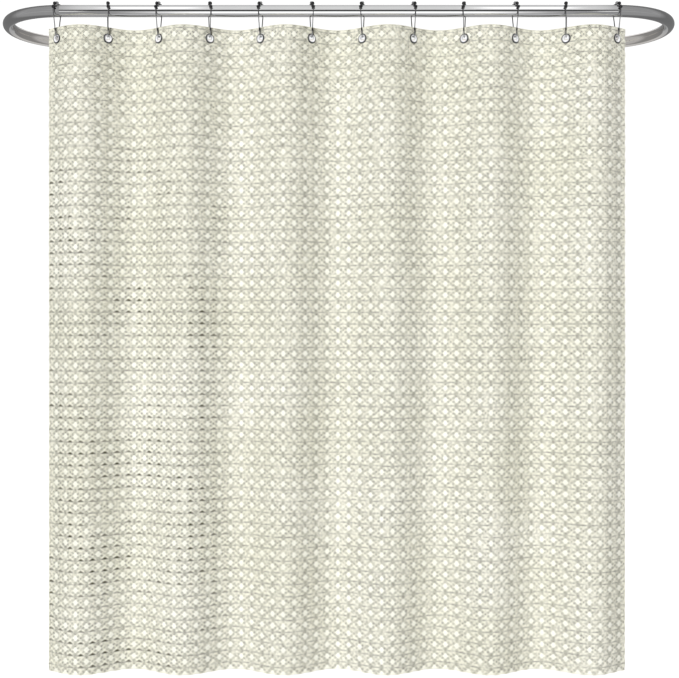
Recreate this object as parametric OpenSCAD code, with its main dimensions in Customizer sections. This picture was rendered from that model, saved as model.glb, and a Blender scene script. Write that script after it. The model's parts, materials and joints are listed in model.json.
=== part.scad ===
// Shower curtain hung by twelve roller hooks on the front run of an oval ring rod.
// Millimetres, +Z up, +X along the rod, the bather's side at +Y.
// The origin is the middle of the rear tube's axis, where a wall bracket clamps the rod.

/* [Rod] */
// Outside diameter of the rod's tube
rod_d = 33.7; // [25:0.1:38]
// Wall of the rod's tube
tube_wall = 1.2; // [1:0.1:2]
// Front tube's axis to rear tube's axis
ring_depth = 360; // [300:5:370]
// Length of the ring's straight front run, and of its rear run
run_l = 1580; // [1580:10:1800]
// How far each end bend's centreline reaches past the straight runs
end_reach = 192; // [190:1:240]

/* [Rod joints] */
// Length of each joint's sleeve inside its straight tube
sleeve_l = 46; // [36:1:60]
// Length of the sleeve inside its bend, as an angle of the bend
sleeve_turn = 8; // [5:1:12]
// Wall of that sleeve
sleeve_wall = 1.6; // [1.2:0.1:3]
// Diameter of a grub screw
grub_d = 5; // [4:1:6]
// Length of a grub screw
grub_l = 4.4; // [3:0.2:5]
// Joint to grub screw, along the rod
grub_inset = 22; // [12:1:28]

/* [Hooks] */
// Hooks, and eyelets, along the curtain
hook_count = 12; // [8:2:12]
// Hook to hook
hook_pitch = 144.5; // [100:0.5:144.5]
// Middle of the row of hooks, along the rod from the ring's middle
row_shift = -4.5; // [-10:0.5:10]
// Diameter of the hook's wire
wire_d = 2.8; // [2:0.1:3]
// Diameter of a roller bead
bead_d = 10; // [8:0.5:12]
// Diameter of the hole through a bead
bead_bore_d = 4; // [3.8:0.1:5]
// Least space between a bead and the rod
bead_gap = 0.35; // [0.1:0.05:1]
// Bead to bead, as an angle round the rod
bead_step = 36; // [32:1:40]
// Radius of the hook's lower bend
toe_r = 8; // [6:0.5:10]
// Hook's plane, turned from square across the rod
hook_turn = 14; // [0:1:20]
// Height of the hook's lowest point over its eyelet's centre
toe_lift = 4; // [2:0.5:5]
// Length of the latch on a hook's front leg
latch_l = 6; // [4:0.5:8]
// Outside diameter of the latch
latch_d = 4.2; // [3.8:0.1:5]
// Latch's middle, down from the rod's axis
latch_drop = 54; // [45:1:58]

/* [Eyelets] */
// Cloth's top edge to eyelet centres
eyelet_drop = 32; // [25:1:36]
// Hole through an eyelet
eyelet_bore_d = 14; // [13:0.5:16]
// Outside diameter of the front flange
flange_d = 28; // [26:0.5:30]
// Crown of the front flange
flange_crown = 1.6; // [1:0.1:2]
// Wall of the eyelet's barrel
barrel_wall = 0.8; // [0.5:0.1:1]
// Outside diameter of the washer behind the cloth
washer_d = 25; // [23:0.5:28]
// Thickness of that washer
washer_t = 0.8; // [0.5:0.1:1]

/* [Curtain] */
// Cloth's height, top edge to bottom edge
cloth_h = 1829; // [1500:1:2000]
// Rod's axis to the cloth's top edge
cloth_drop = 46; // [40:1:60]
// Thickness of the cloth
cloth_t = 1; // [0.6:0.1:2]
// Front of a fold to back of a fold
fold_depth = 64; // [40:1:70]
// Cloth past the first and last eyelets
side_margin = 26; // [18:0.5:30]
// Depth of the top hem
top_hem_h = 60; // [55:1:80]
// Depth of the bottom hem
bottom_hem_h = 25; // [15:1:40]
// Space between the cloth and a hem's turned layer
hem_gap = 0.05; // [0.05:0.05:0.2]

/* [Hidden] */
$fn = 64;
HOOKS = [0 : hook_count - 1];

// Small overshoot, so that a cut goes right through
over = 1;

// Rod
rod_r = rod_d / 2;
front_y = -ring_depth;
half_depth = ring_depth / 2;
straight_half = run_l / 2;
// Half a bend is two tangent arcs, a wide one and a tighter one at the tip. Their centres stand at two
// corners of a 3-4-5 triangle, which keeps every radius and place a round number
wide_r = 2 * end_reach - half_depth;
tip_r = (3 * half_depth - end_reach) / 2;
arc_split = asin(0.6);

// Hooks
first_x = row_shift - (hook_count - 1) * hook_pitch / 2;
// The hook's plane stands askew, so its lowest beads are the ones nearest the rod
low_bead = 2 * bead_step;
low_bead_reach = sqrt(1 - pow(sin(low_bead) * sin(hook_turn), 2));
arc_r = (rod_r + bead_gap + bead_d / 2) / low_bead_reach;
eyelet_z = -cloth_drop - eyelet_drop;
toe_z = eyelet_z + toe_lift + toe_r;
leg_tilt = asin((arc_r - toe_r) / -toe_z);
leg_l = -toe_z * cos(leg_tilt);
latch_at = (toe_r * sin(leg_tilt) - toe_z - latch_drop) / cos(leg_tilt);
knot_swell = 0.4;
knot_trim = 0.2;

// Eyelets, measured along the eyelet's axis from the middle of the cloth
eyelet_play = 0.4;
cloth_hole_d = eyelet_bore_d + 2 * barrel_wall + 1.6;
flange_back = -cloth_t / 2 - eyelet_play;
washer_front = 1.5 * cloth_t + hem_gap + eyelet_play;
lip_t = 0.4;
lip_w = 1.2;
barrel_end = washer_front + washer_t + 0.1;

// Curtain
cloth_x0 = first_x - side_margin;
cloth_x1 = first_x + (hook_count - 1) * hook_pitch + side_margin;
cloth_top = -cloth_drop;
cloth_bottom = cloth_top - cloth_h;
cloth_steps = 136;
step_x = (cloth_x1 - cloth_x0) / cloth_steps;
hem_front = cloth_t / 2 + hem_gap;
hem_back = hem_front + cloth_t;

function number(i) = str(i < 9 ? "0" : "", i + 1);
function hook_x(i) = first_x + i * hook_pitch;
function turn_sign(i) = i % 2 == 0 ? -1 : 1;
function fold_phase(x) = 180 * (x - first_x) / hook_pitch;
function fold_angle(x) = atan(-fold_depth / 2 * PI / hook_pitch * cos(fold_phase(x)));
// A point of the folded cloth seen from above, a distance d behind its middle surface
function cloth_point(x, d) = [
    x - d * sin(fold_angle(x)),
    front_y - fold_depth / 2 * sin(fold_phase(x)) + d * cos(fold_angle(x))
];

// Rod

module tube_section(outer_r, wall) {
    difference() {
        circle(r = outer_r);
        circle(r = outer_r - wall);
    }
}

module along_x(x0, x1) {
    translate([x0, 0, 0]) rotate([0, 90, 0]) linear_extrude(height = x1 - x0) children();
}

// Repeats its children at the four joints. Each stands at a joint with +X towards the bend and
// the ring's middle at +Y
module at_joints() {
    for (left = [0, 1], front = [0, 1])
        mirror([left, 0, 0]) translate([straight_half, front * front_y, 0]) mirror([0, 1 - front, 0])
            children();
}

module at_grub_screws() {
    at_joints() translate([-grub_inset, rod_r, 0]) rotate([-90, 0, 0])
        translate([0, 0, -grub_l]) children();
}

module straight_tube(y) {
    difference() {
        translate([0, y, 0]) along_x(-straight_half, straight_half) tube_section(rod_r, tube_wall);
        at_grub_screws() cylinder(d = grub_d + 0.6, h = grub_l + over);
    }
}

module bend_arc(radius, start, angle) {
    rotate_extrude(start = start, angle = angle, $fn = 96)
        translate([radius, 0]) tube_section(rod_r, tube_wall);
}

module bend() {
    translate([straight_half, -half_depth, 0]) {
        translate([0, wide_r - half_depth, 0]) bend_arc(wide_r, -90, arc_split);
        translate([end_reach - tip_r, 0, 0]) bend_arc(tip_r, arc_split - 90, 90 - arc_split);
        translate([end_reach - tip_r, 0, 0]) bend_arc(tip_r, 0, 90 - arc_split);
        translate([0, half_depth - wide_r, 0]) bend_arc(wide_r, 90 - arc_split, arc_split);
    }
}

module front_tube() {
    color("gainsboro") straight_tube(front_y);
}

module rear_tube() {
    color("gainsboro") straight_tube(0);
}

module right_bend() {
    color("gainsboro") bend();
}

module left_bend() {
    color("gainsboro") translate([0, front_y, 0]) rotate([0, 0, 180]) bend();
}

// A sleeve's section, a slip fit inside the tubes
module sleeve_section() {
    tube_section(rod_r - tube_wall - 0.1, sleeve_wall);
}

module joint_sleeves() {
    color("darkgray") difference() {
        at_joints() {
            along_x(-sleeve_l, 0) sleeve_section();
            translate([0, wide_r, 0]) rotate_extrude(start = -90, angle = sleeve_turn, $fn = 96)
                translate([wide_r, 0]) sleeve_section();
        }
        at_grub_screws() translate([0, 0, -over]) cylinder(d = grub_d + 0.1, h = grub_l + 2 * over);
    }
}

module grub_screws() {
    color("dimgray") at_grub_screws() difference() {
        cylinder(d = grub_d, h = grub_l - 0.1);
        translate([0, 0, grub_l - 2.1]) cylinder(d = grub_d / 2, h = 2 + over, $fn = 6);
    }
}

// Hooks

module at_hook(i) {
    translate([hook_x(i), front_y, 0]) rotate([0, 0, turn_sign(i) * hook_turn]) children();
}

// A turn of wire in the hook's plane, from its lowest point at 0 degrees round to its highest at 180.
// It stops short at both ends, inside the knots
module wire_arc(radius, start, angle) {
    trim = knot_trim / radius * 180 / PI;
    rotate([0, 90, 0]) rotate_extrude(start = start + trim, angle = angle - 2 * trim)
        translate([radius, 0]) circle(d = wire_d, $fn = 24);
}

// Stands at the foot of a leg, with +Z up along the leg; side is -1 in front and 1 behind
module at_leg(side) {
    translate([0, side * toe_r * cos(leg_tilt), toe_z - toe_r * sin(leg_tilt)])
        rotate([-side * leg_tilt, 0, 0]) children();
}

// A straight leg, with a knot at each end where it runs into a bend
module leg() {
    translate([0, 0, knot_trim]) cylinder(d = wire_d, h = leg_l - 2 * knot_trim, $fn = 24);
    for (z = [0, leg_l]) translate([0, 0, z]) sphere(d = wire_d + knot_swell, $fn = 24);
}

module hook_wire(i) {
    color("silver") at_hook(i) {
        union() {
            wire_arc(arc_r, 90 - leg_tilt, 180 + 2 * leg_tilt);
            translate([0, 0, toe_z]) wire_arc(toe_r, leg_tilt - 90, 180 - 2 * leg_tilt);
            for (side = [-1, 1]) at_leg(side) leg();
        }
        at_leg(-1) translate([0, 0, latch_at - latch_l / 2]) difference() {
            cylinder(d = latch_d, h = latch_l, $fn = 32);
            translate([0, 0, -over]) cylinder(d = wire_d + 0.2, h = latch_l + 2 * over, $fn = 24);
        }
    }
}

module bead(angle) {
    rotate([angle, 0, 0]) translate([0, 0, arc_r]) difference() {
        sphere(d = bead_d, $fn = 48);
        rotate([90, 0, 0]) cylinder(d = bead_bore_d, h = bead_d + 2 * over, center = true, $fn = 32);
    }
}

module top_roller(i) {
    color("silver") at_hook(i) bead(0);
}

module side_rollers(i) {
    color("silver") at_hook(i) for (n = [-2, -1, 1, 2]) bead(n * bead_step);
}

// Eyelets

// Stands at an eyelet's centre, with +Z along its axis towards the back of the cloth
module at_eyelet(i) {
    translate([hook_x(i), front_y, eyelet_z]) rotate([0, 0, fold_angle(hook_x(i))])
        rotate([-90, 0, 0]) children();
}

module ring_profile(inner_d, outer_d, z0, z1) {
    translate([inner_d / 2, z0]) square([(outer_d - inner_d) / 2, z1 - z0]);
}

// The crowned front flange: a slice of a circle, flat at its back
module flange_profile() {
    width = (flange_d - eyelet_bore_d) / 2;
    crown_r = (width * width / 4 + flange_crown * flange_crown) / (2 * flange_crown);
    intersection() {
        translate([eyelet_bore_d / 2, flange_back - flange_crown]) square([width, flange_crown]);
        translate([(flange_d + eyelet_bore_d) / 4, flange_back - flange_crown + crown_r])
            circle(r = crown_r);
    }
}

module eyelet(i) {
    barrel_d = eyelet_bore_d + 2 * barrel_wall;
    color("silver") at_eyelet(i) {
        rotate_extrude() union() {
            flange_profile();
            ring_profile(eyelet_bore_d, barrel_d, flange_back, barrel_end + lip_t);
            ring_profile(eyelet_bore_d, barrel_d + 2 * lip_w, barrel_end, barrel_end + lip_t);
        }
        rotate_extrude() ring_profile(barrel_d + 0.4, washer_d, washer_front, washer_front + washer_t);
    }
}

// Curtain

// A layer of the folded cloth between two distances behind its middle surface, two steps and two heights
module cloth_layer(d0, d1, step0, step1, z0, z1) {
    front = [for (s = [step0 : step1]) cloth_point(cloth_x0 + s * step_x, d0)];
    back = [for (s = [step1 : -1 : step0]) cloth_point(cloth_x0 + s * step_x, d1)];
    translate([0, 0, z0]) linear_extrude(height = z1 - z0) polygon(concat(front, back));
}

module eyelet_holes() {
    for (i = HOOKS) at_eyelet(i) cylinder(d = cloth_hole_d, h = 20, center = true);
}

module curtain_cloth() {
    color("ivory") difference() {
        cloth_layer(-cloth_t / 2, cloth_t / 2, 0, cloth_steps, cloth_bottom, cloth_top);
        eyelet_holes();
    }
}

module top_hem() {
    color("ivory") difference() {
        cloth_layer(hem_front, hem_back, 0, cloth_steps, cloth_top - top_hem_h, cloth_top);
        eyelet_holes();
    }
}

module bottom_hem() {
    color("ivory")
        cloth_layer(hem_front, hem_back, 0, cloth_steps, cloth_bottom, cloth_bottom + bottom_hem_h);
}

module side_hem(step0) {
    color("ivory") cloth_layer(hem_front, hem_back, step0, step0 + 1,
        cloth_bottom + bottom_hem_h, cloth_top - top_hem_h);
}

module left_hem() {
    side_hem(0);
}

module right_hem() {
    side_hem(cloth_steps - 1);
}

front_tube();
rear_tube();
left_bend();
right_bend();
joint_sleeves();
grub_screws();
curtain_cloth();
top_hem();
bottom_hem();
left_hem();
right_hem();
for (i = HOOKS) {
    hook_wire(i);
    top_roller(i);
    side_rollers(i);
    eyelet(i);
}
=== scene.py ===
"""A waffle-weave shower curtain on an oval ring rod: the looks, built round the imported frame.

Metres, +Z up, +X along the rod. The room is on the -Y side, and the curtain hangs from the front tube.
"""
import json
import math

import bpy
import numpy as np
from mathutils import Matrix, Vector

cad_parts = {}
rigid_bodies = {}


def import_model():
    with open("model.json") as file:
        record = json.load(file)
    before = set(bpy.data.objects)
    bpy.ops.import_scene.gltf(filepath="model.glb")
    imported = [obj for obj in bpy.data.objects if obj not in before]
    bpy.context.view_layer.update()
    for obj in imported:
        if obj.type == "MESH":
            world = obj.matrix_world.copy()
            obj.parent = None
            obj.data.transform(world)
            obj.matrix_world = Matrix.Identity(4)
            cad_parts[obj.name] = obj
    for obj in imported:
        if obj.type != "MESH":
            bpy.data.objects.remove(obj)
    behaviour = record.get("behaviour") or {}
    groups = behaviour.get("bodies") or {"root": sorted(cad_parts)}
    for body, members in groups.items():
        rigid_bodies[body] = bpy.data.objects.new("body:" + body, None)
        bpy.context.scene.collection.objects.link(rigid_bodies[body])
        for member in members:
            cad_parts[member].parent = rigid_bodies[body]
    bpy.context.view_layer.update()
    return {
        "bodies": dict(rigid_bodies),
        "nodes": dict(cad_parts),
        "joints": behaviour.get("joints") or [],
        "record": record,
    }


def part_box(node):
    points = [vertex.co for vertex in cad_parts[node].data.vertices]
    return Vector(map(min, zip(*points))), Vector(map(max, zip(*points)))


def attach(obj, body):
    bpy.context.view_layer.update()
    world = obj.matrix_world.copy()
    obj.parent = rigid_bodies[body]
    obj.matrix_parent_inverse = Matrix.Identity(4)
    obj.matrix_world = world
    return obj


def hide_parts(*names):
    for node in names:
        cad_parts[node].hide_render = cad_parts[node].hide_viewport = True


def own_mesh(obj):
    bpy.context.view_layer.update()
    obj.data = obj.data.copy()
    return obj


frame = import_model()
JOINTS = {joint["name"]: joint for joint in frame["joints"]}
NODES = frame["nodes"]

# ---- Places, all read from the frame ----
HOOKS = sorted(name for name in frame["bodies"] if name.startswith("hook_"))
HOOK_X = [JOINTS[f"{hook}_roll"]["pos_m"][0] for hook in HOOKS]
PITCH = HOOK_X[1] - HOOK_X[0]                       # from one hook to the next
FRONT_Y = JOINTS["curtain_swing"]["pos_m"][1]       # the front tube's axis
CLOTH_LO, CLOTH_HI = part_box("curtain_cloth")
HEM_LO, HEM_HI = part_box("top_hem")
TOP_HEM = HEM_HI.z - HEM_LO.z                       # depth of the top hem
BOTTOM_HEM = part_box("bottom_hem")[1].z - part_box("bottom_hem")[0].z
SIDE_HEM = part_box("left_hem")[1].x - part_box("left_hem")[0].x
EYELETS = sorted(name for name in NODES if name.startswith("eyelet_"))

# ---- Cloth ----
CLOTH_THICK = 0.001
FOLD_AMP = (CLOTH_HI.y - CLOTH_LO.y - CLOTH_THICK) / 2
CELLS_X, CELLS_Z = 53.4, 54.88      # cells of the weave across and down the sheet
FIRST_U, FIRST_V = 0.78, 0.78       # cells from the left and top edges to the first flat diamond
STEPS = 6                           # mesh steps to one cell
EDGE_STEP = 0.35                    # the mesh has no line nearer to an edge than this share of a step
DIAMOND_RISE = 0.0007               # height of the flat diamonds above the bands between them
DIAMOND_EDGE = 0.26                 # cells from a diamond's middle to the end of its flat top
DIAMOND_SLOPE = 0.10                # cells that its slope takes
PILLOW_RISE = 0.0024                # height of the pillows
PILLOW_REACH = 0.52                 # cells from a pillow's middle to its rim
PILLOW_CROWN = 0.9                  # power of its dome: lower is flatter on top
CREASE_DEPTH = 0.0011               # the pinch across the middle of each pillow
CREASE_WIDE = 0.075                 # cells from its middle line to its side
CREASE_REACH = 0.22                 # cells from the pillow's middle to where it starts to fade
CREASE_FADE = 0.18                  # cells that the fade takes
NODE_PIT = 0.0005                   # the pits straight above and below each diamond
PIT_WIDE = 0.11                     # cells from a pit's middle to its side
BAND_LEVEL = -0.0003                # the bands lie a little behind the sheet's middle
SCALLOP = 0.0016                    # how far the edges bulge at each pillow
SCALLOP_REACH = 0.010               # how far in from the edge the bulge is felt
DRIFT = 0.0035                      # how far the folds wander at the bottom
SWAYS = ((0.6, 7.3, 0.8), (0.4, 17.9, 2.1))     # its waves: share, radians over the height, start
SLOW_PUFF, QUICK_PUFF = 0.13, 0.10  # how much the pillows' fullness changes slowly, and from one to the next
EDGE_RELIEF = 0.35                  # share of the relief that is left at the edges
EDGE_EASE = 0.008                   # how far in from them it's whole
EYELET_HOLE = 0.0100                # radius of the hole in the cloth, under the eyelet's flange
PRESSED = 0.0150                    # the cloth is pressed flat out to this radius
FREE = 0.0240                       # and has its full relief from this one

CELL_X = (CLOTH_HI.x - CLOTH_LO.x) / CELLS_X
CELL_Z = (CLOTH_HI.z - CLOTH_LO.z) / CELLS_Z
U_MIN, U_MAX = -FIRST_U, CELLS_X - FIRST_U
V_MIN, V_MAX = -FIRST_V, CELLS_Z - FIRST_V


def srgb(r, g, b):
    """An 8-bit screen colour as the linear RGBA that the shaders take."""
    linear = [c / 255 / 12.92 if c <= 10 else ((c / 255 + 0.055) / 1.055) ** 2.4 for c in (r, g, b)]
    return (*linear, 1.0)


def smooth(t):
    """0 to 1 with level ends."""
    t = np.clip(t, 0, 1)
    return t * t * (3 - 2 * t)


# ---------------------------------------------------------------------------
# The sheet's shape
# ---------------------------------------------------------------------------
def near(t):
    """Distance to the nearest whole number."""
    return np.abs(t - np.round(t))


def wander(z):
    """How far the folds have drifted sideways at height z: nothing at the eyelets, most near the bottom."""
    down = (CLOTH_HI.z - z) / (CLOTH_HI.z - CLOTH_LO.z)
    sway = sum(share * np.sin(turns * down + start) for share, turns, start in SWAYS)
    return DRIFT * smooth(down * 1.4 - 0.1) * sway


def fold(x, z):
    """The folded sheet's middle: its y, and its slope dy/dx."""
    phase = math.pi * (x - HOOK_X[0] + wander(z)) / PITCH
    return FRONT_Y - FOLD_AMP * np.sin(phase), -FOLD_AMP * math.pi / PITCH * np.cos(phase)


def weave(u, v):
    """Height of the weave's relief at lattice place u, v. Flat diamonds sit at whole numbers, and pillows at
    halves, with level bands between them that run diagonally both ways across the cloth."""
    a, b = near(u), near(v)
    out = a + b                                   # 0 in a diamond's middle, 1 in a pillow's
    diamond = DIAMOND_RISE * (1 - smooth((out - DIAMOND_EDGE) / DIAMOND_SLOPE))
    dome = np.clip((1 - out) / PILLOW_REACH, 0, 1)        # 1 at the pillow's rim, 0 in its middle
    pillow = PILLOW_RISE * (1 - dome**2) ** PILLOW_CROWN
    crease_line = np.exp(-(((0.5 - b) / CREASE_WIDE) ** 2))
    crease_end = 1 - smooth(((0.5 - a) - CREASE_REACH) / CREASE_FADE)
    pit = NODE_PIT * np.exp(-((a / PIT_WIDE) ** 2) - ((0.5 - b) / PIT_WIDE) ** 2)
    return BAND_LEVEL + diamond + pillow - CREASE_DEPTH * crease_line * crease_end - pit


def liveliness(u, v):
    """How full the pillows are from place to place, about 1."""
    slow = np.sin(0.37 * u + 0.9) * np.sin(0.23 * v + 0.4) + 0.6 * np.sin(0.81 * u - 0.47 * v + 1.7)
    col, row = np.round(u), np.round(v)
    quick = np.sin(2.3 * col + 5.1 * row) * np.sin(3.7 * col - 1.9 * row)
    return 1 + SLOW_PUFF * slow + QUICK_PUFF * quick


def eyelet_distance(x, z):
    """Distance along the cloth from the nearest eyelet's middle."""
    middle = [(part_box(name)[0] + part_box(name)[1]) / 2 for name in EYELETS]
    slope = FOLD_AMP * math.pi / PITCH
    stretch = math.sqrt(1 + slope * slope)
    apart = [np.hypot((x - m.x) * stretch, z - m.z) for m in middle]
    return np.min(apart, axis=0)


def scallop(x, z):
    """The edges' small bulges at each pillow: how far a point near an edge moves out."""
    u, v = weave_place(x, z)
    side_bulge = 0.5 - 0.5 * np.cos(2 * math.pi * v)
    foot_bulge = 0.5 - 0.5 * np.cos(2 * math.pi * u)
    right = smooth(1 - (CLOTH_HI.x - x) / SCALLOP_REACH)
    left = smooth(1 - (x - CLOTH_LO.x) / SCALLOP_REACH)
    foot = smooth(1 - (z - CLOTH_LO.z) / SCALLOP_REACH)
    return SCALLOP * ((right - left) * side_bulge), SCALLOP * (-foot * foot_bulge)


def place(x, z, n):
    """Points at x, z on the sheet, n in front of its middle, as an (N, 3) array."""
    x, z, n = (np.asarray(t, float) for t in np.broadcast_arrays(x, z, n))
    y, slope = fold(x, z)
    length = np.sqrt(1 + slope * slope)
    out_x, out_z = scallop(x, z)
    points = np.stack([x + n * slope / length + out_x, y - n / length, z + out_z], axis=-1)
    return points.reshape(-1, 3)


def front_height(x, z):
    """The cloth's relief at x, z, pressed flat round the eyelets and eased down at the edges."""
    u, v = weave_place(x, z)
    free = smooth((eyelet_distance(x, z) - PRESSED) / (FREE - PRESSED))
    rim = np.minimum.reduce([x - CLOTH_LO.x, CLOTH_HI.x - x, z - CLOTH_LO.z, CLOTH_HI.z - z])
    eased = EDGE_RELIEF + (1 - EDGE_RELIEF) * smooth(rim / EDGE_EASE)
    return weave(u, v) * liveliness(u, v) * free * eased


def make_mesh(name, points, faces, weave_uv=None):
    """A smooth-shaded mesh object from arrays, with the weave's place kept on each point."""
    mesh = bpy.data.meshes.new(name)
    mesh.from_pydata(np.asarray(points).tolist(), [], faces)
    if weave_uv is not None:
        kept = mesh.attributes.new("weave", "FLOAT_VECTOR", "POINT")
        flat = np.zeros((len(points), 3), np.float32)
        flat[:, :2] = weave_uv
        kept.data.foreach_set("vector", flat.ravel())
    mesh.validate()
    mesh.shade_smooth()
    obj = bpy.data.objects.new(name, mesh)
    bpy.context.scene.collection.objects.link(obj)
    return obj


def lattice_lines(low, high):
    """Lattice places of the mesh's lines: every step between two edges, and the edges."""
    inner = np.arange(math.ceil(low * STEPS + EDGE_STEP), math.floor(high * STEPS - EDGE_STEP) + 1) / STEPS
    return np.concatenate([[low], inner, [high]])


def cut_sheet(us, vs):
    """A grid over part of the sheet, with a round hole under each eyelet: its points' x and z, and its
    triangles."""
    u, v = (grid.ravel() for grid in np.meshgrid(us, vs))
    x, z = CLOTH_LO.x + (u - U_MIN) * CELL_X, CLOTH_HI.z - (v - V_MIN) * CELL_Z

    # Each square is split along the nearest diamond's edge, so the diamonds come out straight-sided.
    columns, rows = len(us), len(vs)
    col, row = (grid.ravel() for grid in np.meshgrid(np.arange(columns - 1), np.arange(rows - 1)))
    corner = row * columns + col
    a, b, c, d = corner, corner + 1, corner + columns + 1, corner + columns
    mid_u, mid_v = (us[col] + us[col + 1]) / 2, (vs[row] + vs[row + 1]) / 2
    falling = (mid_u - np.round(mid_u)) * (mid_v - np.round(mid_v)) > 0
    first = np.where(falling[:, None], np.stack([a, d, b], 1), np.stack([a, d, c], 1))
    second = np.where(falling[:, None], np.stack([b, d, c], 1), np.stack([a, c, b], 1))
    triangles = np.concatenate([first, second])

    # Faces inside a hole are left out, and the ring of points round it becomes a circle.
    apart = eyelet_distance(x, z)
    inside = apart < EYELET_HOLE
    triangles = triangles[~inside[triangles].any(axis=1)]
    rim = np.unique(open_edges(triangles))
    rim = rim[apart[rim] < 2 * EYELET_HOLE]
    for name in EYELETS:
        middle = (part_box(name)[0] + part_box(name)[1]) / 2
        near_it = rim[np.abs(x[rim] - middle.x) < 2 * EYELET_HOLE]
        shrink = EYELET_HOLE / apart[near_it]
        x[near_it] = middle.x + (x[near_it] - middle.x) * shrink
        z[near_it] = middle.z + (z[near_it] - middle.z) * shrink
    used = np.unique(triangles)
    renumber = np.zeros(len(x), int)
    renumber[used] = np.arange(len(used))
    return x[used], z[used], renumber[triangles]


def open_edges(triangles):
    """The edges that only one triangle has, each in that triangle's own direction."""
    edges = np.concatenate([triangles[:, [0, 1]], triangles[:, [1, 2]], triangles[:, [2, 0]]])
    _, place_of, count = np.unique(np.sort(edges, axis=1), axis=0, return_inverse=True, return_counts=True)
    return edges[count[place_of.ravel()] == 1]


def weave_place(x, z):
    """Lattice places u, v of points of the sheet."""
    return (x - CLOTH_LO.x) / CELL_X + U_MIN, (CLOTH_HI.z - z) / CELL_Z + V_MIN


def make_cloth():
    """The sheet itself, one layer, with its relief in the mesh and a round hole under each eyelet."""
    x, z, triangles = cut_sheet(lattice_lines(U_MIN, U_MAX), lattice_lines(V_MIN, V_MAX))
    points = place(x, z, front_height(x, z))
    return make_mesh("waffle_cloth", points, triangles.tolist(), np.stack(weave_place(x, z), 1))


# ---------------------------------------------------------------------------
# Hems: closed bands folded round the edge onto the back
# ---------------------------------------------------------------------------
HEM_FRONT = 0.0011       # how far the rolled edge stands in front of the sheet's middle
HEM_LIP = 0.0022         # how far the roll reaches over the front
HEM_NEAR = -0.0007       # the band's side that lies on the cloth
HEM_BACK = -0.0021       # and its outer side
HEM_RELIEF = 0.0005      # the weave showing through on the band's back
ROLL = 0.0060            # depth of the top hem's rolled edge
ROLL_LAP = 0.0050        # where its flat layer starts
ROLL_STEPS = 8           # steps round the roll
TOP_HEM_STEP = 0.3       # its lines of the mesh keep this share of a step from its edges
HEM_NOSE = 0.0003        # how far the band's inner edge is rounded out
BACK_CLEAR = 0.003       # the weave shows on the band's back from this far in,
BACK_FADE = 0.004        # in full this much further


def hem_profile(depth, steps):
    """The band's cross-section as (distance in from the edge, height in front of the middle): a rolled edge,
    then in along the back to the band's full depth, and out again along the cloth to the lip."""
    middle, radius = (HEM_FRONT + HEM_BACK) / 2, (HEM_FRONT - HEM_BACK) / 2
    turns = [math.pi * k / ROLL_STEPS for k in range(ROLL_STEPS + 1)]
    roll = [(radius * 0.9 * (1 - math.sin(turn)), middle + radius * math.cos(turn)) for turn in turns]
    back = [(radius + (depth - radius) * k / steps, HEM_BACK) for k in range(1, steps + 1)]
    inner = [(depth + HEM_NOSE, (HEM_BACK + HEM_NEAR) / 2), (depth, HEM_NEAR)]
    up = [(radius + (depth - radius) * k / steps, HEM_NEAR) for k in range(steps - 1, -1, -2)]
    lip = [(HEM_LIP * 0.8, HEM_NEAR * 0.3), (HEM_LIP, HEM_FRONT * 0.55), (HEM_LIP * 0.8, HEM_FRONT * 0.95)]
    return roll + back + inner + up + lip


def back_level(x, z, inward):
    """Height of a hem's outer side: level, with the weave showing through softly away from its edges."""
    clear = smooth((eyelet_distance(x, z) - PRESSED) / (FREE - PRESSED))
    fade = smooth((inward - BACK_CLEAR) / BACK_FADE) * clear
    return HEM_BACK - HEM_RELIEF * fade * (weave(*weave_place(x, z)) - BAND_LEVEL) / PILLOW_RISE


def sweep(lines, profile, to_sheet):
    """A closed band's points' x, z and height, and its faces: profile swept along lines. to_sheet turns
    (along, in) into the sheet's x and z."""
    ring = len(profile)
    inward, height = (np.array(t) for t in zip(*profile))
    along = np.repeat(lines, ring)
    inward, height = np.tile(inward, len(lines)), np.tile(height, len(lines))
    x, z = to_sheet(along, inward)
    height = np.where(height <= HEM_BACK + 1e-6, back_level(x, z, inward), height)
    faces = []
    for i in range(len(lines) - 1):
        for k in range(ring):
            a, b = i * ring + k, i * ring + (k + 1) % ring
            faces.append((a, b, b + ring, a + ring))
    last = (len(lines) - 1) * ring
    faces.append(tuple(range(ring - 1, -1, -1)))
    faces.append(tuple(range(last, last + ring)))
    return x, z, height, faces


def band_object(name, x, z, height, faces):
    return make_mesh(name, place(x, z, height), faces, np.stack(weave_place(x, z), 1))


def make_top_hem(us, vs):
    """The deep hem behind the eyelets: a rolled edge, and a layer with a round hole at each eyelet."""
    x0, z0, height0, faces = sweep(CLOTH_LO.x + (us - U_MIN) * CELL_X, hem_profile(ROLL, 1),
                                   lambda s, i: (s, CLOTH_HI.z - i))
    low, high = V_MIN + ROLL_LAP / CELL_Z, V_MIN + TOP_HEM / CELL_Z
    gap = TOP_HEM_STEP / STEPS
    inner = vs[(vs > low + gap) & (vs < high - gap)]
    x, z, triangles = cut_sheet(us, np.concatenate([[low], inner, [high]]))
    count, start = len(x), len(x0)
    near_side = np.full(count, HEM_NEAR)
    far_side = back_level(x, z, np.minimum(CLOTH_HI.z - z, z - (CLOTH_HI.z - TOP_HEM)))
    faces += (triangles + start).tolist()
    faces += (triangles[:, ::-1] + start + count).tolist()
    faces += [(start + b, start + a, start + count + a, start + count + b) for a, b in open_edges(triangles)]
    return band_object("top_hem_band", np.concatenate([x0, x, x]), np.concatenate([z0, z, z]),
                       np.concatenate([height0, near_side, far_side]), faces)


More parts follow.
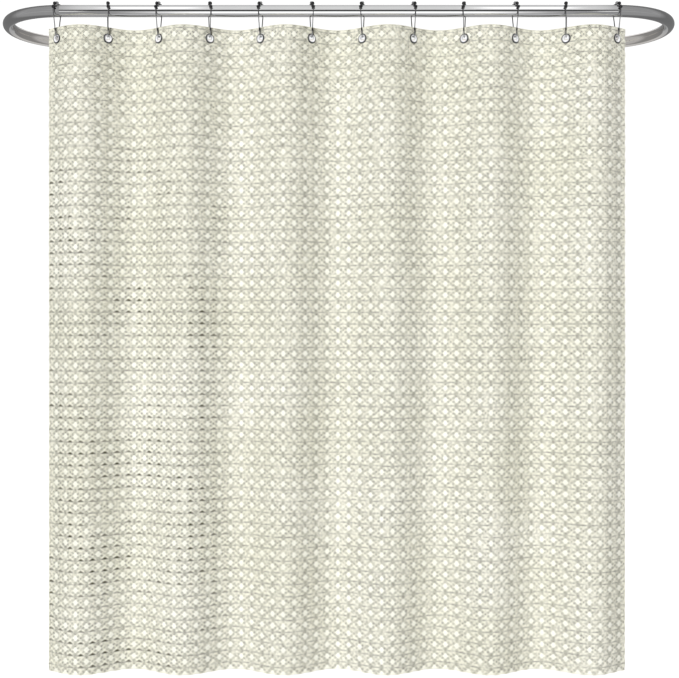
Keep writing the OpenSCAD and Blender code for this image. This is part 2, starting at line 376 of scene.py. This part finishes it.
def make_hems():
    """The four hems, each a band of its own."""
    us, vs = lattice_lines(U_MIN, U_MAX), lattice_lines(V_MIN, V_MAX)
    xs, zs = CLOTH_LO.x + (us - U_MIN) * CELL_X, CLOTH_HI.z - (vs - V_MIN) * CELL_Z
    between = zs[(zs < CLOTH_HI.z - TOP_HEM - 0.001) & (zs > CLOTH_LO.z + BOTTOM_HEM + 0.001)]
    foot, side = hem_profile(BOTTOM_HEM, 5), hem_profile(SIDE_HEM, 3)
    return {
        "top_hem": make_top_hem(us, vs),
        "bottom_hem": band_object("bottom_hem_band", *sweep(xs, foot, lambda s, i: (s, CLOTH_LO.z + i))),
        "left_hem": band_object("left_hem_band", *sweep(between, side, lambda s, i: (CLOTH_LO.x + i, s))),
        "right_hem": band_object("right_hem_band", *sweep(between, side, lambda s, i: (CLOTH_HI.x - i, s))),
    }


# ---------------------------------------------------------------------------
# Stitching
# ---------------------------------------------------------------------------
STITCH_LONG = 0.0034      # one stitch
STITCH_STEP = 0.0046      # from one stitch to the next
STITCH_INSET = 0.0030     # from a hem's inner edge to its row of stitches
STITCH_PLACES = np.array([0.0, 0.25, 0.75, 1.0])                # shares of a stitch where the thread bends
THREAD_R = 0.00032
THREAD_SIDES = 5
STITCH_LIFT = np.array([-0.4, 1.0, 1.0, -0.4]) * THREAD_R       # how far it stands out at those places
STITCH_BACK = HEM_BACK - HEM_RELIEF * 0.6                       # where it lies on the hems' backs


def stitch_ends():
    """Both ends of every stitch, as x and z arrays with a row for each stitch."""
    top_z, foot_z = CLOTH_HI.z - TOP_HEM + STITCH_INSET, CLOTH_LO.z + BOTTOM_HEM - STITCH_INSET
    left_x, right_x = CLOTH_LO.x + SIDE_HEM - STITCH_INSET, CLOTH_HI.x - SIDE_HEM + STITCH_INSET
    ends = []
    for x in np.arange(CLOTH_LO.x + STITCH_INSET, CLOTH_HI.x - STITCH_INSET - STITCH_LONG, STITCH_STEP):
        ends += [((x, x + STITCH_LONG), (z, z)) for z in (top_z, foot_z)]
    for z in np.arange(foot_z + STITCH_STEP, top_z - STITCH_STEP, STITCH_STEP):
        ends += [((x, x), (z, z + STITCH_LONG)) for x in (left_x, right_x)]
    return np.array([end[0] for end in ends]), np.array([end[1] for end in ends])


def thread_points(x, z, base, side):
    """Points round each stitch's thread, which lies on base and stands out to one side: 1 in front, -1 at the
    back."""
    centre = place(x, z, base + side * STITCH_LIFT).reshape(*x.shape, 3)
    forward = centre[:, -1] - centre[:, 0]
    forward /= np.linalg.norm(forward, axis=1)[:, None]
    normal = place(x[:, 1:2], z[:, 1:2], base[:, 1:2] + side) - centre[:, 1]
    normal -= forward * (normal * forward).sum(1)[:, None]
    normal /= np.linalg.norm(normal, axis=1)[:, None]
    across = np.cross(forward, normal)
    rings = []
    for k in range(THREAD_SIDES):
        turn = 2 * math.pi * k / THREAD_SIDES
        rings.append(centre + THREAD_R * (math.cos(turn) * normal + math.sin(turn) * across)[:, None])
    return np.stack(rings, axis=2).reshape(-1, 3)


def thread_faces(first, rings):
    """One closed thread's faces: its points start at first, in rings along it."""
    faces = []
    for ring in range(rings - 1):
        for k in range(THREAD_SIDES):
            a = first + ring * THREAD_SIDES + k
            b = first + ring * THREAD_SIDES + (k + 1) % THREAD_SIDES
            faces.append((a, b, b + THREAD_SIDES, a + THREAD_SIDES))
    tip = first + (rings - 1) * THREAD_SIDES
    faces.append(tuple(first + k for k in reversed(range(THREAD_SIDES))))
    faces.append(tuple(tip + k for k in range(THREAD_SIDES)))
    return faces


def make_stitches():
    """A row of thread along each hem's inner edge, seen on the back and, sunk between the pillows, on the
    front."""
    ends_x, ends_z = stitch_ends()
    x = ends_x[:, :1] + (ends_x[:, 1:] - ends_x[:, :1]) * STITCH_PLACES
    z = ends_z[:, :1] + (ends_z[:, 1:] - ends_z[:, :1]) * STITCH_PLACES
    count, rings = x.shape
    back = thread_points(x, z, np.full_like(x, STITCH_BACK), -1)
    front = thread_points(x, z, front_height(x, z), 1)
    faces = []
    for stitch in range(2 * count):
        faces += thread_faces(stitch * rings * THREAD_SIDES, rings)
    return make_mesh("hem_stitching", np.concatenate([back, front]), faces)


# ---------------------------------------------------------------------------
# Materials
# ---------------------------------------------------------------------------
class Graph:
    """A node tree, and short ways to add nodes to it."""

    def __init__(self, tree):
        self.tree = tree

    def add(self, kind, inputs=None, **settings):
        node = self.tree.nodes.new(f"ShaderNode{kind}")
        for key, value in settings.items():
            setattr(node, key, value)
        for key, value in (inputs or {}).items():
            self.set(node.inputs[key], value)
        return node

    def set(self, socket, value):
        if isinstance(value, bpy.types.NodeSocket):
            self.tree.links.new(value, socket)
        elif value is not None:
            socket.default_value = value

    def math(self, operation, first, second=None, third=None):
        node = self.add("Math", operation=operation)
        for socket, value in zip(node.inputs, (first, second, third)):
            self.set(socket, value)
        return node.outputs[0]

    def product(self, first, *others):
        for other in others:
            first = self.math("MULTIPLY", first, other)
        return first

    def span(self, value, start, end, kind="SMOOTHSTEP"):
        """0 where value is at start, rising to 1 at end."""
        inputs = {"Value": value, "From Min": start, "From Max": end}
        return self.add("MapRange", inputs, interpolation_type=kind).outputs[0]

    def between(self, value, low, high, soft):
        """1 where value is between low and high, with soft edges."""
        rise = self.span(value, low - soft, low + soft)
        fall = self.span(value, high + soft, high - soft)
        return self.product(rise, fall)

    def ramp(self, value, stops, eased=True):
        """A value through a colour ramp: stops are (place, colour or grey)."""
        node = self.add("ValToRGB", {"Fac": value})
        ramp = node.color_ramp
        ramp.interpolation = "EASE" if eased else "LINEAR"
        while len(ramp.elements) < len(stops):
            ramp.elements.new(0.5)
        for element, (place_at, colour) in zip(ramp.elements, stops):
            element.position = place_at
            element.color = colour if hasattr(colour, "__len__") else (colour, colour, colour, 1)
        return node.outputs["Color"]

    def mix(self, share, first, second, blend="MIX"):
        node = self.add("Mix", data_type="RGBA", blend_type=blend)
        self.set(node.inputs["Factor"], share)
        self.set(node.inputs["A"], first)
        self.set(node.inputs["B"], second)
        return node.outputs["Result"]

    def where(self):
        """The point's own x, y and z, in metres."""
        return self.add("SeparateXYZ", {"Vector": self.add("TexCoord").outputs["Object"]}).outputs

    def noise(self, scale, detail=3.0, stretch=(1, 1, 1)):
        place_in = self.add("TexCoord").outputs["Object"]
        mapped = self.add("Mapping", {"Vector": place_in, "Scale": stretch}).outputs[0]
        return self.add("TexNoise", {"Vector": mapped, "Scale": scale, "Detail": detail}).outputs["Fac"]


class Paint(Graph):
    """A material's own tree, with its Principled shader."""

    def __init__(self, name, **values):
        self.material = bpy.data.materials.new(name)
        self.material.use_nodes = True
        super().__init__(self.material.node_tree)
        self.shader = self.tree.nodes["Principled BSDF"]
        self.use(**values)

    def bump(self, height, strength, distance):
        node = self.add("Bump", {"Strength": strength, "Distance": distance, "Height": height})
        self.set(self.shader.inputs["Normal"], node.outputs[0])

    def use(self, **inputs):
        """Sets or links the shader's inputs, named with _ for a space, and gives the material."""
        for socket, value in inputs.items():
            self.set(self.shader.inputs[socket.replace("_", " ")], value)
        return self.material


# ---- Yarn ----
THREADS = 8                     # threads to one cell, counted along a diagonal
DASHES = 2.5                    # dashes of the painted groove shade along the bands, to one cell
WHITE_YARN = srgb(255, 254, 243)
PILLOW_YARN = srgb(246, 244, 230)
# The bands' own yarn tone, darkened a little as painted shade for the recessed bands.
BAND_YARN_AND_SHADE = srgb(238, 236, 221)
# Painted shade: the dark colour laid into the bands' grooves, the pits and the creases.
GROOVE_SHADE = srgb(56, 54, 40)
# Painted shadow: the colour of the small shadows painted on the creases.
WEDGE_SHADOW_COLOUR = srgb(84, 82, 62)
WEDGE_SHADOW_RIGHT = CLOTH_LO.x + 0.58   # the painted shadows on the creases show to the left of here,
WEDGE_SHADOW_FADE_X = 0.16               # in full this much further,
WEDGE_SHADOW_TOP = CLOTH_HI.z - 0.22     # and below here,
WEDGE_SHADOW_FADE_Z = 0.25               # in full this much lower
WEDGE_SHADOW_LEAST = 0.08                # share of the painted wedge shadow that shows everywhere
WEDGE_NARROW, WEDGE_FLAT = 2.8, 4.0     # how fast that shadow narrows to its ends and its top, per cell


def lattice(graph):
    """The weave's two lattice numbers, and the distances that its pattern is drawn from."""
    kept = graph.add("Attribute", attribute_name="weave").outputs["Vector"]
    u, v, _ = graph.add("SeparateXYZ", {"Vector": kept}).outputs
    a = graph.math("PINGPONG", u, 0.5)
    b = graph.math("PINGPONG", v, 0.5)
    return u, v, a, b, graph.math("ADD", a, b)


def diagonal_threads(g, u, v):
    """Fine threads that run along both diagonals: 1 on top of a thread, 0 between two."""
    ribs = [g.math("SINE", g.math("MULTIPLY", g.math(run, u, v), 2 * math.pi * THREADS))
            for run in ("ADD", "SUBTRACT")]
    return g.math("MULTIPLY_ADD", g.product(*ribs), 0.5, 0.5)


def groove_shade_lines(g, a, b, out):
    """Painted shade in the grooves along both sides of each band: a thin dark line, in short dashes."""
    rib = g.ramp(out, [(0.295, 0.0), (0.315, 1.0), (0.365, 1.0), (0.385, 0.1), (0.475, 0.1), (0.495, 0.9),
                       (0.535, 0.9), (0.555, 0.0)])
    wave = g.math("SINE", g.math("MULTIPLY", g.math("SUBTRACT", a, b), 2 * math.pi * DASHES))
    return g.product(rib, g.math("MULTIPLY_ADD", wave, 0.5, 0.5))


def pit_shade(g, a, from_half):
    """Painted shade in the pits straight above and below each diamond."""
    squares = [g.math("MULTIPLY", t, t) for t in (a, from_half)]
    return g.ramp(g.math("SQRT", g.math("ADD", *squares)), [(0.02, 0.75), (0.13, 0.0)])


def crease_shade(g, from_half, from_column):
    """Painted shade in the crease across each pillow."""
    line = g.ramp(from_half, [(0.024, 0.8), (0.056, 0.0)])
    end = g.ramp(from_column, [(0.28, 1.0), (0.46, 0.0)])
    return g.product(line, end)


def painted_wedge_shadow(g, v, from_column):
    """A small painted shadow stands on each crease, on the left and lower down, in patches."""
    above = g.math("SUBTRACT", 0.5, g.math("FRACT", v))
    narrowed = g.math("SUBTRACT", 1.0, g.math("MULTIPLY", from_column, WEDGE_NARROW))
    wedge = g.math("SUBTRACT", narrowed, g.math("MULTIPLY", above, WEDGE_FLAT))
    shadow = g.product(g.ramp(wedge, [(0.0, 0.0), (0.30, 1.0)]), g.ramp(above, [(0.0, 0.0), (0.03, 1.0)]))
    x, _, z = g.where()
    left = g.span(x, WEDGE_SHADOW_RIGHT, WEDGE_SHADOW_RIGHT - WEDGE_SHADOW_FADE_X)
    low = g.span(z, WEDGE_SHADOW_TOP, WEDGE_SHADOW_TOP - WEDGE_SHADOW_FADE_Z)
    patchy = g.ramp(g.noise(7.0, 3), [(0.38, 0.25), (0.62, 1.0)])
    share = g.math("MULTIPLY_ADD", g.product(left, low, patchy), 1 - WEDGE_SHADOW_LEAST, WEDGE_SHADOW_LEAST)
    return g.product(shadow, share)


def cloth_material():
    """Ivory yarn: smooth bright diamonds, bands between them with painted shade along their grooves, puffed
    pillows with a crease across that holds painted shade, painted shade in the pits, and painted shadows on
    the creases on the left.
    """
    g = Paint("waffle_yarn", Roughness=0.86, Sheen_Weight=0.1, Sheen_Roughness=0.5, Specular_IOR_Level=0.15)
    u, v, a, b, out = lattice(g)
    from_half = g.math("SUBTRACT", 0.5, b)
    from_column = g.math("SUBTRACT", 0.5, a)
    # Patches where the painted shade in the grooves and creases is stronger or weaker.
    shade_patches = g.ramp(g.noise(45.0, 3), [(0.34, 0.30), (0.58, 1.0)])
    yarn = g.ramp(out, [(0.0, WHITE_YARN), (0.285, WHITE_YARN), (0.315, BAND_YARN_AND_SHADE), (0.54, BAND_YARN_AND_SHADE),
                        (0.60, PILLOW_YARN), (1.0, PILLOW_YARN)])
    # Painted shade along the bands' grooves, in the pits and in the creases, stronger in some patches.
    yarn = g.mix(g.product(groove_shade_lines(g, a, b, out), shade_patches), yarn, GROOVE_SHADE)
    yarn = g.mix(g.product(pit_shade(g, a, from_half), 0.5), yarn, GROOVE_SHADE)
    yarn = g.mix(g.product(crease_shade(g, from_half, from_column), shade_patches, 0.7), yarn, GROOVE_SHADE)
    # Painted shadow wedges on the creases, on the left and lower down.
    yarn = g.mix(painted_wedge_shadow(g, v, from_column), yarn, WEDGE_SHADOW_COLOUR)
    # Slow changes of tone over the sheet, uneven yarn, and single threads that differ a little.
    tone = g.ramp(g.noise(3.1, 4), [(0.3, srgb(247, 247, 243)), (0.7, srgb(255, 255, 255))])
    yarn = g.mix(1.0, yarn, tone, "MULTIPLY")
    slub = g.ramp(g.noise(170.0, 2), [(0.36, 0.66), (0.55, 1.0)], eased=False)
    yarn = g.mix(g.ramp(out, [(0.22, 0.15), (0.30, 0.9)]), yarn, slub, "MULTIPLY")
    threads = diagonal_threads(g, u, v)
    groove = g.ramp(out, [(0.26, 1.0), (0.32, 0.2), (0.38, 0.7), (0.48, 0.25), (0.56, 0.8), (1.0, 1.0)])
    g.bump(g.math("ADD", g.product(threads, 0.25), groove), 0.5, 0.0008)
    return g.use(Base_Color=g.mix(0.16, yarn, g.ramp(threads, [(0.0, 0.5), (1.0, 1.0)]), "MULTIPLY"))


def hem_material():
    """The same yarn, folded double: the weave shows through softly."""
    g = Paint("hem_yarn", Roughness=0.88, Sheen_Weight=0.15, Sheen_Roughness=0.5, Specular_IOR_Level=0.2)
    u, v, _, _, out = lattice(g)
    # The weave's tones show through, darkest over the bands: partly the yarn's own tone, partly painted shade
    # for the recessed bands.
    yarn = g.ramp(out, [(0.0, srgb(246, 244, 231)), (0.30, srgb(236, 234, 219)), (0.42, srgb(224, 222, 207)),
                        (0.55, srgb(232, 230, 215)), (1.0, srgb(243, 241, 227))])
    tone = g.ramp(g.noise(6.0, 4), [(0.3, srgb(246, 246, 242)), (0.7, srgb(255, 255, 255))])
    g.bump(diagonal_threads(g, u, v), 0.4, 0.0006)
    return g.use(Base_Color=g.mix(1.0, yarn, tone, "MULTIPLY"))


def thread_material():
    """Sewing thread: twisted, a shade brighter than the cloth."""
    g = Paint("sewing_thread", Roughness=0.6, Sheen_Weight=0.2, Specular_IOR_Level=0.35)
    twist = g.add("TexWave", {"Scale": 900.0, "Distortion": 0.5}, bands_direction="DIAGONAL").outputs["Fac"]
    g.bump(twist, 0.5, 0.0002)
    return g.use(Base_Color=g.ramp(twist, [(0.0, srgb(226, 224, 210)), (1.0, srgb(250, 248, 236))]))


# ---- Metal ----
REAR_TINT_START, REAR_TINT_END = 0.13, 0.26        # behind the front tube's axis, where its tone turns to the rear run's lighter painted tint
# Painted reflection: the rear run's lighter base tint stands for the brighter reflection it shows.
REAR_REFLECTION_TINT = (0.92, 0.885, 0.85, 1)
WIRE_LOW, WIRE_HIGH = -0.095, 0.030      # heights between which the wire's painted light and shade bands change
# Painted reflections and shade on the wire: its tone by height.
WIRE_LIGHT_AND_SHADE = [(-0.090, 0.75), (-0.060, 0.62), (-0.0575, 0.12), (-0.050, 0.12), (-0.0475, 0.62),
              (-0.024, 0.85), (-0.016, 0.30), (0.028, 0.26)]
LEG_EDGE = 0.001                         # depth in which the wire's front leg turns to its rear leg's painted shade
RIM_HIGHLIGHT_AND_SHADE = [(0.0, 0.86), (0.55, 0.98), (0.76, 0.98), (0.82, 0.03), (1.0, 0.03)]    # painted highlight on the face and painted shade on the rolled rim, by share of the radius


def grey(value):
    """A grey that is a touch blue, as plating is."""
    return (value, value, value * 1.01, 1)


def metal_material(name, colour, roughness, spread, stretch=(6, 60, 60), rear=None):
    """Polished metal with fine marks from drawing and wiping, so its gloss isn't quite even. Behind the front
    run it turns to the rear colour, where there is one: a lighter painted tint that stands for the brighter
    reflection on the rear run."""
    g = Paint(name, Metallic=1.0)
    marks = g.noise(14.0, 5, stretch)
    cloudy = g.noise(9.0, 3)
    both = g.math("MULTIPLY_ADD", marks, 0.5, g.product(cloudy, 0.5))
    low, high = max(0.01, roughness - spread), roughness + spread
    tone = g.ramp(both, [(0.3, tuple(c * 0.93 for c in colour[:3]) + (1,)), (0.7, colour)])
    if rear:
        tone = g.mix(g.span(g.where()[1], FRONT_Y + REAR_TINT_START, FRONT_Y + REAR_TINT_END), tone, rear)
    g.bump(marks, 0.02, 0.0002)
    return g.use(Base_Color=tone, Roughness=g.ramp(both, [(0.3, low), (0.7, high)]))


def wire_material():
    """Plated wire with painted light and shade: lighter painted bands in front below the rod, duller over the
    rod, and painted shade that leaves the rear leg near black; unevenly rubbed.
    """
    g = Paint("hook_wire", Metallic=1.0, Roughness=0.14)
    _, y, z = g.where()
    height = g.span(z, WIRE_LOW, WIRE_HIGH, "LINEAR")
    stops = [((at - WIRE_LOW) / (WIRE_HIGH - WIRE_LOW), grey(tone)) for at, tone in WIRE_LIGHT_AND_SHADE]
    behind = g.span(y, FRONT_Y - LEG_EDGE, FRONT_Y + LEG_EDGE, "LINEAR")
    # Painted shade: the rear leg turns near black.
    tone = g.mix(behind, g.ramp(height, stops, eased=False), grey(0.07))
    rubbed = g.ramp(g.noise(60.0, 3, (1, 1, 0.3)), [(0.3, 0.80), (0.7, 1.0)])
    g.bump(g.noise(220.0, 2), 0.1, 0.0002)
    return g.use(Base_Color=g.mix(1.0, tone, rubbed, "MULTIPLY"))


def eyelet_material():
    """Plated rings with a painted highlight over the face and painted shade on the rolled rim, found from
    each eyelet's own middle.
    """
    g = Paint("eyelet_metal", Metallic=0.2, Roughness=0.22)
    low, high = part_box(EYELETS[0])
    middle = (low + high) / 2
    x, y, z = g.where()
    across = g.math("WRAP", g.math("SUBTRACT", x, HOOK_X[0]), PITCH / 2, -PITCH / 2)
    far = 0.0
    for offset in (across, g.math("SUBTRACT", y, middle.y), g.math("SUBTRACT", z, middle.z)):
        far = g.math("ADD", far, g.math("MULTIPLY", offset, offset))
    radius = g.math("DIVIDE", g.math("SQRT", far), (high.z - low.z) / 2)
    tone = g.ramp(radius, [(at, grey(level)) for at, level in RIM_HIGHLIGHT_AND_SHADE], eased=False)
    rubbed = g.ramp(g.noise(90.0, 3), [(0.3, 0.93), (0.7, 1.0)])
    g.bump(g.noise(300.0, 2), 0.08, 0.0002)
    return g.use(Base_Color=g.mix(1.0, tone, rubbed, "MULTIPLY"))


def dress_metal():
    """A material for every metal node. The beads of one slot get lit and shaded copies: the top rollers a
    lighter tone as painted highlight, the other beads a near-black one as painted shade.
    """
    by_slot = {
        "rod_steel": metal_material("polished_tube", (0.60, 0.60, 0.605, 1), 0.045, 0.02, rear=REAR_REFLECTION_TINT),
        "sleeve_steel": metal_material("sleeve_steel", (0.42, 0.42, 0.43, 1), 0.35, 0.08),
        "screw_steel": metal_material("screw_steel", (0.30, 0.30, 0.32, 1), 0.30, 0.06, (20, 20, 20)),
        "hook_wire": wire_material(),
        # Near black: painted shade for the dark that the beads reflect.
        "bead_chrome": metal_material("bead_chrome", (0.07, 0.07, 0.072, 1), 0.10, 0.03, (30, 30, 30)),
        "eyelet_metal": eyelet_material(),
    }
    top_bead_highlight = metal_material("top_bead_chrome", (0.60, 0.60, 0.605, 1), 0.22, 0.04, (30, 30, 30))
    for part in frame["record"]["subparts"]:
        name, slot = part["node"], part["material_slot"]
        if slot in by_slot:
            paints = NODES[name].data.materials
            paints.clear()
            paints.append(top_bead_highlight if name.endswith("_top_roller") else by_slot[slot])


# ---------------------------------------------------------------------------
# Camera, light and floor
# ---------------------------------------------------------------------------
LENS, SENSOR = 59.78, 36.0       # mm
CAMERA_FAR = 3.2                 # from the camera to the front tube's axis
CAMERA_DOWN = 0.8847             # from the cloth's top edge down to the camera
CAMERA_ASIDE = 0.0025
PLAIN_WHITE = 1.05               # the backdrop, as the camera sees it
FILL = 0.03                      # even light from all round
FLOOR_GAP = 0.12                 # from the cloth's foot to the floor

# The studio that the metal shows. Each part has its reach to the side (low, high and soft edge, from 0 in the
# middle to 1 at the side), its height (the same in degrees: 0 level on the room's side, 90 overhead), and its
# light.
STRAIGHT = (-1.0, 0.23, 0.02)    # the reach that the straight tubes show
BENDS = (0.27, 2.0, 0.02)        # and the one that the bends show
STUDIO = [
    (STRAIGHT, (62, 150, 12), 0.60),                     # overhead
    (STRAIGHT, (10, 62, 6), 0.65),                       # high card
    (STRAIGHT, (-172, -72, 6), 0.31),                    # the wall behind, low down
    ((0.12, 0.195, 0.015), (26, 66, 8), 0.9),            # more of the high card towards the run's ends
    ((-1.0, 0.15, 0.05), (-60, -26, 10), 1.6),           # low card
    ((0.215, 0.245, 0.006), (-24, -12, 3), 1.2),         # a glint at the run's very ends
    (BENDS, (22, 30, 5), 0.14),                          # faint lines in the bends
    (BENDS, (-22, -14, 4), 0.16),
]
HORIZON = ((-1.0, 0.245, 0.01), (-13, 6, 2), 0.96)       # the thin dark band, and the light that it takes
ROOM_LIGHT, BACK_LIGHT = 0.45, 0.24                      # walls on the room's side, and behind the curtain
ROOM_EDGE, BACK_EDGE = -0.15, 0.30                       # depths between which one turns to the other


def make_camera():
    """Level, and a little above the middle of the curtain's height, looking straight at it."""
    data = bpy.data.cameras.new("camera")
    data.lens, data.sensor_width = LENS, SENSOR
    camera = bpy.data.objects.new("camera", data)
    camera.location = (CAMERA_ASIDE, FRONT_Y - CAMERA_FAR, CLOTH_HI.z - CAMERA_DOWN)
    camera.rotation_euler = (math.pi / 2, 0, 0)
    bpy.context.scene.collection.objects.link(camera)
    bpy.context.scene.camera = camera


def make_world():
    """Plain white for the camera, an even fill for the cloth, and for reflections a studio: grey walls,
    bright cards on the room's side and a thin dark band at the horizon."""
    world = bpy.data.worlds.new("studio")
    bpy.context.scene.world = world
    world.use_nodes = True
    g = Graph(world.node_tree)
    g.tree.nodes.clear()
    x, y, z = g.add("SeparateXYZ", {"Vector": g.add("TexCoord").outputs["Generated"]}).outputs
    side = g.math("ABSOLUTE", x)
    rise = g.math("ARCTAN2", z, g.math("MULTIPLY", y, -1.0))        # round the X axis, from the room's side
    turn = g.math("MULTIPLY", rise, 180 / math.pi)
    light = g.math("MULTIPLY_ADD", g.span(y, ROOM_EDGE, BACK_EDGE), BACK_LIGHT - ROOM_LIGHT, ROOM_LIGHT)
    for reach, height, strength in STUDIO:
        light = g.math("ADD", light, g.product(g.between(side, *reach), g.between(turn, *height), strength))
    reach, height, strength = HORIZON
    dark = g.product(g.between(turn, *height), g.between(side, *reach), strength)
    light = g.product(light, g.math("SUBTRACT", 1.0, dark))

    surface = g.add("Background", {"Color": light}).outputs[0]
    path = g.add("LightPath")
    for ray, level in (("Is Diffuse Ray", FILL), ("Is Camera Ray", PLAIN_WHITE)):
        ground = g.add("Background", {"Color": (level, level, level, 1)})
        pick = g.add("MixShader")
        for socket, value in zip(pick.inputs, (path.outputs[ray], surface, ground.outputs[0])):
            g.set(socket, value)
        surface = pick.outputs[0]
    g.set(g.add("OutputWorld").inputs[0], surface)


def make_lights():
    """Soft daylight from the front, a little to the left and above, and some on the back. Metal shows
    neither."""
    for name, azimuth, height, strength, angle in (
        ("key", -10, 22, 3.8, 12),
        ("back", 168, 30, 3.4, 30),
    ):
        data = bpy.data.lights.new(name, "SUN")
        data.energy, data.angle = strength, math.radians(angle)
        lamp = bpy.data.objects.new(name, data)
        lamp.visible_glossy = False
        a, e = math.radians(azimuth), math.radians(height)
        toward = Vector((math.sin(a) * math.cos(e), -math.cos(a) * math.cos(e), math.sin(e)))
        lamp.rotation_mode = "QUATERNION"
        lamp.rotation_quaternion = toward.to_track_quat("Z", "Y")
        bpy.context.scene.collection.objects.link(lamp)


def make_floor():
    """A pale floor under the hanging curtain. It lights nothing and shows in no metal."""
    half, level = 12.0, CLOTH_LO.z - FLOOR_GAP
    mesh = bpy.data.meshes.new("floor")
    mesh.from_pydata([(-half, -half, level), (half, -half, level), (half, half, level), (-half, half, level)],
                     [], [(0, 1, 2, 3)])
    floor = bpy.data.objects.new("floor", mesh)
    bpy.context.scene.collection.objects.link(floor)
    g = Paint("pale_floor", Roughness=0.9, Base_Color=(0.35, 0.35, 0.35, 1), Emission_Color=(1, 1, 1, 1),
              Emission_Strength=0.85)
    mesh.materials.append(g.material)
    floor.visible_diffuse = floor.visible_glossy = False


# ---------------------------------------------------------------------------
# Building
# ---------------------------------------------------------------------------
def draw_aside(piece):
    """Fixes a piece to the curtain's body, with a mesh of its own."""
    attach(piece, "curtain")
    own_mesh(piece)


make_camera()
make_world()
make_lights()
make_floor()
dress_metal()

cloth = make_cloth()
cloth.data.materials.append(cloth_material())
hems = make_hems()
hem_yarn = hem_material()
stitches = make_stitches()
stitches.data.materials.append(thread_material())
for node, band in hems.items():
    band.data.materials.append(hem_yarn)
    draw_aside(band)
    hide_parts(node)
draw_aside(cloth)
cloth.visible_glossy = False         # the rod shows the studio below it, not the cloth
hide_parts("curtain_cloth")
draw_aside(stitches)

scene = bpy.context.scene
scene.view_settings.view_transform = "Standard"
